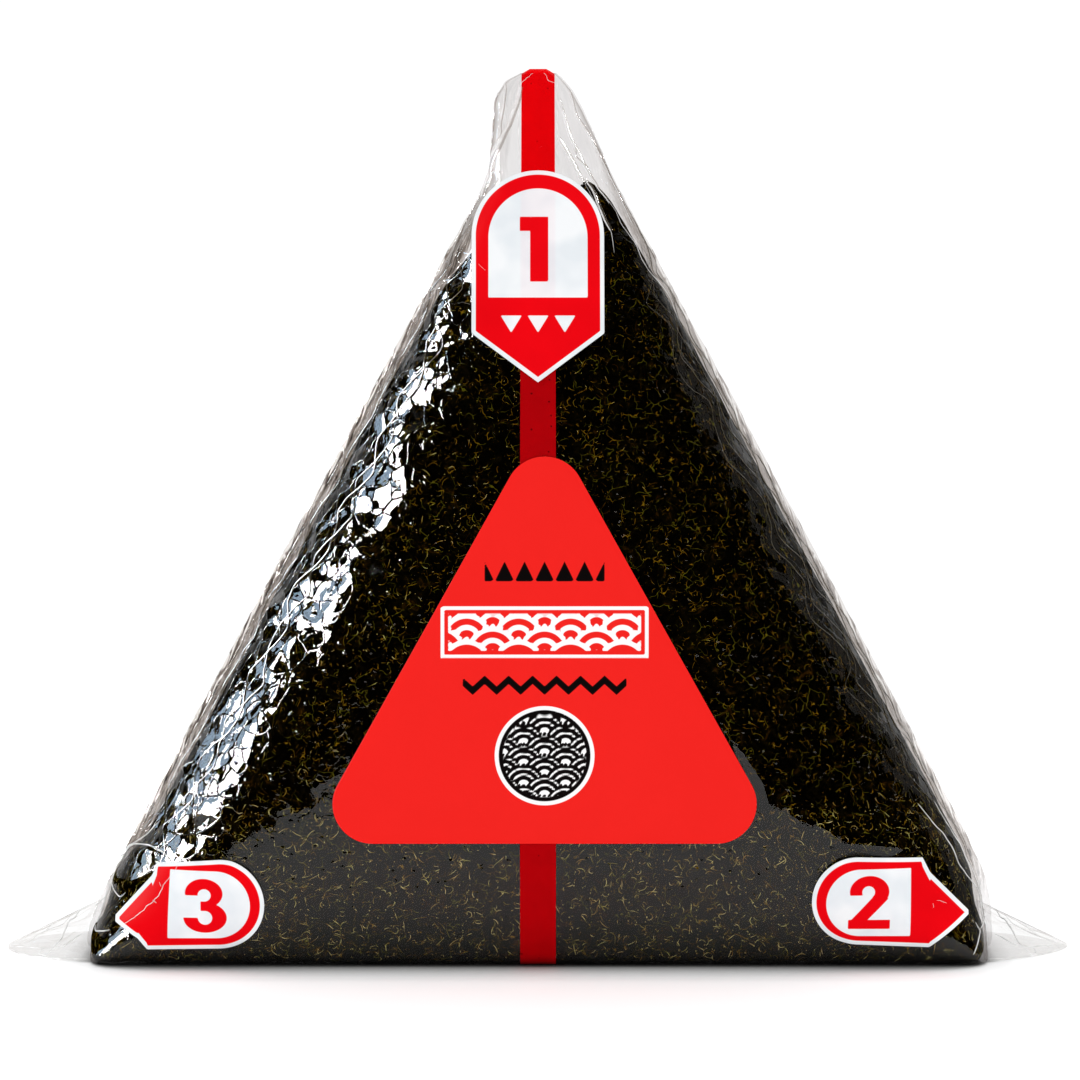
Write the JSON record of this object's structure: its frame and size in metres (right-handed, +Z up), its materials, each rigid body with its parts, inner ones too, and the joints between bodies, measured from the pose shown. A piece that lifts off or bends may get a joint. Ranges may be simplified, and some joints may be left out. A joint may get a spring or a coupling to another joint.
{
  "type": "wrapped onigiri rice ball",
  "caption": "Triangular rice ball in nori, sealed in clear film with a tear strip, step labels and a front sticker, standing on its base.",
  "frame": {"origin": "centre of the base on the surface that the pack stands on, midway between the tips of the film tails", "axes": "+Z up through the peak; the front with the sticker faces -Y; +X to the right seen from the front"},
  "size_m": [0.111, 0.0338, 0.0914],
  "materials": {
    "pack": "near-black green nori seen through glossy clear polypropylene film, with crinkled edges and bare film at the peak and tails",
    "strip": "red tear tape, slightly see-through, glossy",
    "sticker": "printed paper sticker, flat bright red with white and black shapes, satin",
    "label": "printed label, red with a pale field and a white border, satin"
  },
  "bodies": {
    "root": {"film_pack": "pack", "tear_strip": "strip", "front_sticker": "sticker", "step_label_1": "label", "step_label_2": "label", "step_label_3": "label"}
  },
  "joints": []
}
